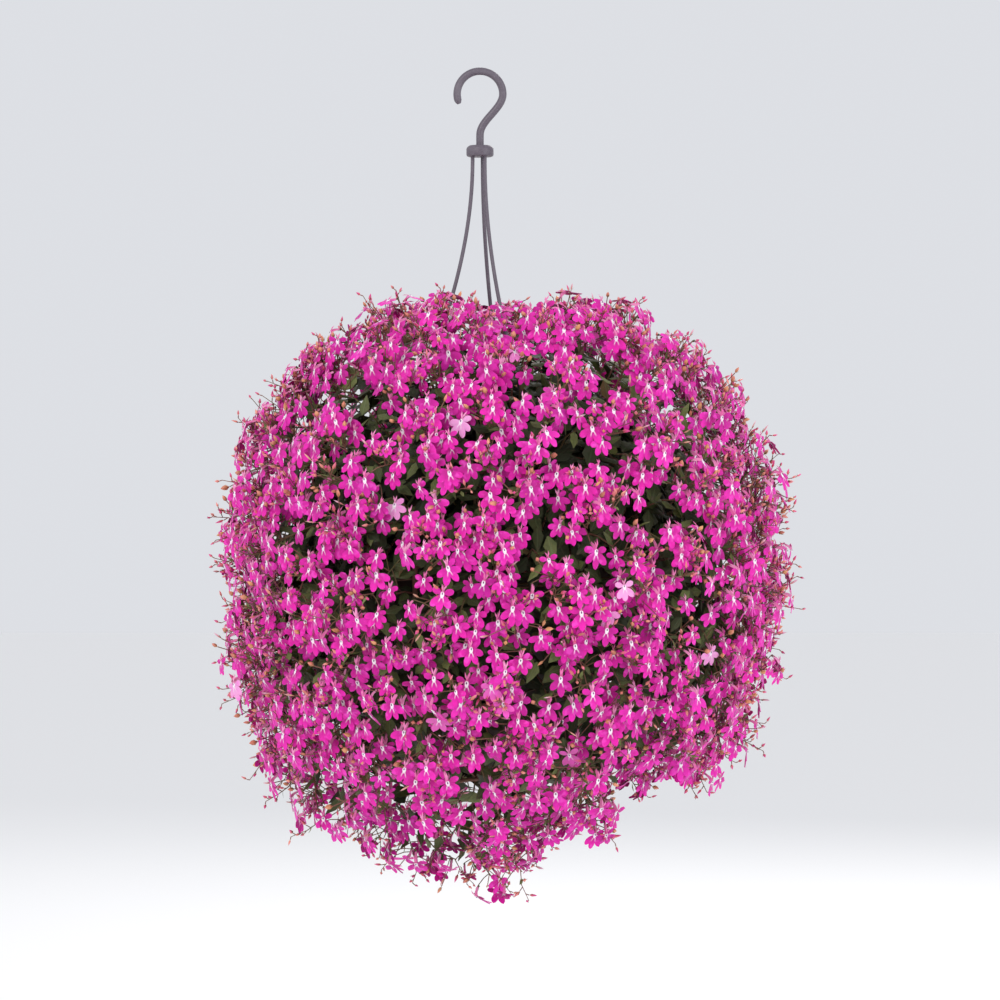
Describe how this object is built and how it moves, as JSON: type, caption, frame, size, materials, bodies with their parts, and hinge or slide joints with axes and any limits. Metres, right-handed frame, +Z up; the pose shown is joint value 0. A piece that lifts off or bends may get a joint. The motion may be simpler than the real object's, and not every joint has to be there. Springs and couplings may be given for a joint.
{
  "type": "trailing lobelia in a hanging pot",
  "caption": "Ball of trailing lobelia in full magenta-pink bloom, growing from a hidden pot that hangs from a hook by thin strands.",
  "frame": {"origin": "where the hook bears on the bracket that holds it, the inner top of the hook's arc", "axes": "+Z up, -Y towards the front, which the picture shows, +X to the right seen from the front"},
  "size_m": [0.4184, 0.4176, 0.599],
  "materials": {
    "petals": "soft velvety petals with a white eye",
    "foliage": "dark green toothed leaves and brown-green stems",
    "compost": "rough damp crumbs",
    "pot": "satin moulded plastic",
    "hanger": "satin grey plastic"
  },
  "bodies": {
    "root": {"hook": "hanger", "strand_1": "hanger", "strand_2": "hanger", "strand_3": "hanger", "pot": "pot", "compost": "compost", "foliage_01": "foliage", "foliage_02": "foliage", "foliage_03": "foliage", "foliage_04": "foliage", "foliage_05": "foliage", "foliage_06": "foliage", "foliage_07": "foliage", "foliage_08": "foliage", "foliage_09": "foliage", "foliage_10": "foliage", "foliage_11": "foliage", "foliage_12": "foliage", "foliage_13": "foliage", "foliage_14": "foliage", "foliage_15": "foliage", "foliage_16": "foliage", "foliage_17": "foliage", "foliage_18": "foliage", "foliage_19": "foliage", "foliage_20": "foliage", "foliage_21": "foliage", "foliage_22": "foliage", "foliage_23": "foliage", "foliage_24": "foliage", "blooms_01": "petals", "blooms_02": "petals", "blooms_03": "petals", "blooms_04": "petals", "blooms_05": "petals", "blooms_06": "petals", "blooms_07": "petals", "blooms_08": "petals", "blooms_09": "petals", "blooms_10": "petals", "blooms_11": "petals", "blooms_12": "petals", "blooms_13": "petals", "blooms_14": "petals", "blooms_15": "petals", "blooms_16": "petals", "blooms_17": "petals", "blooms_18": "petals", "blooms_19": "petals", "blooms_20": "petals", "blooms_21": "petals", "blooms_22": "petals", "blooms_23": "petals", "blooms_24": "petals"}
  },
  "joints": []
}
